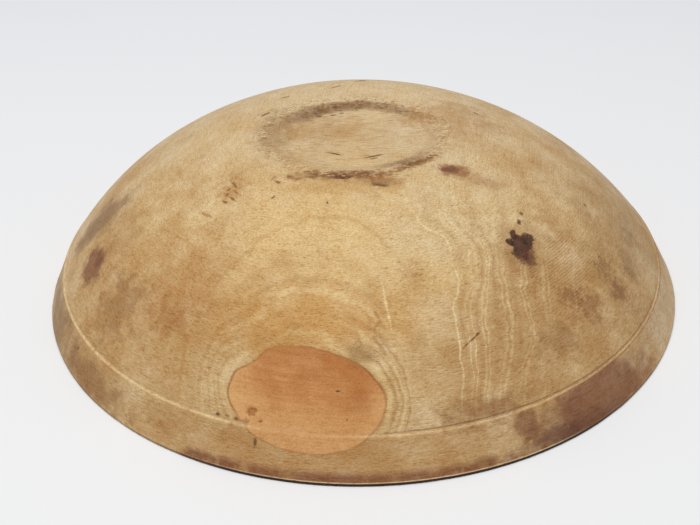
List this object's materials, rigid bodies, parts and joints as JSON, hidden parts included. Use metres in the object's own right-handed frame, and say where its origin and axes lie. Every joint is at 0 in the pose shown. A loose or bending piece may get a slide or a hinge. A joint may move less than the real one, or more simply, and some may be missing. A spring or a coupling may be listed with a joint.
{
  "type": "dough bowl",
  "caption": "Round one-piece turned wooden dough bowl with a grooved rim band and a shallow hollow in its foot, standing mouth down on its rim.",
  "frame": {"origin": "centre of the mouth, in the plane of the rim that the bowl stands on", "axes": "+Z along the turning axis, up towards the foot; +Y along the grain, away from the viewer of the picture"},
  "size_m": [0.4, 0.4, 0.1005],
  "materials": {
    "turned_wood": "dry, worn, unvarnished turned surface"
  },
  "bodies": {
    "root": {"bowl": "turned_wood"}
  },
  "joints": []
}
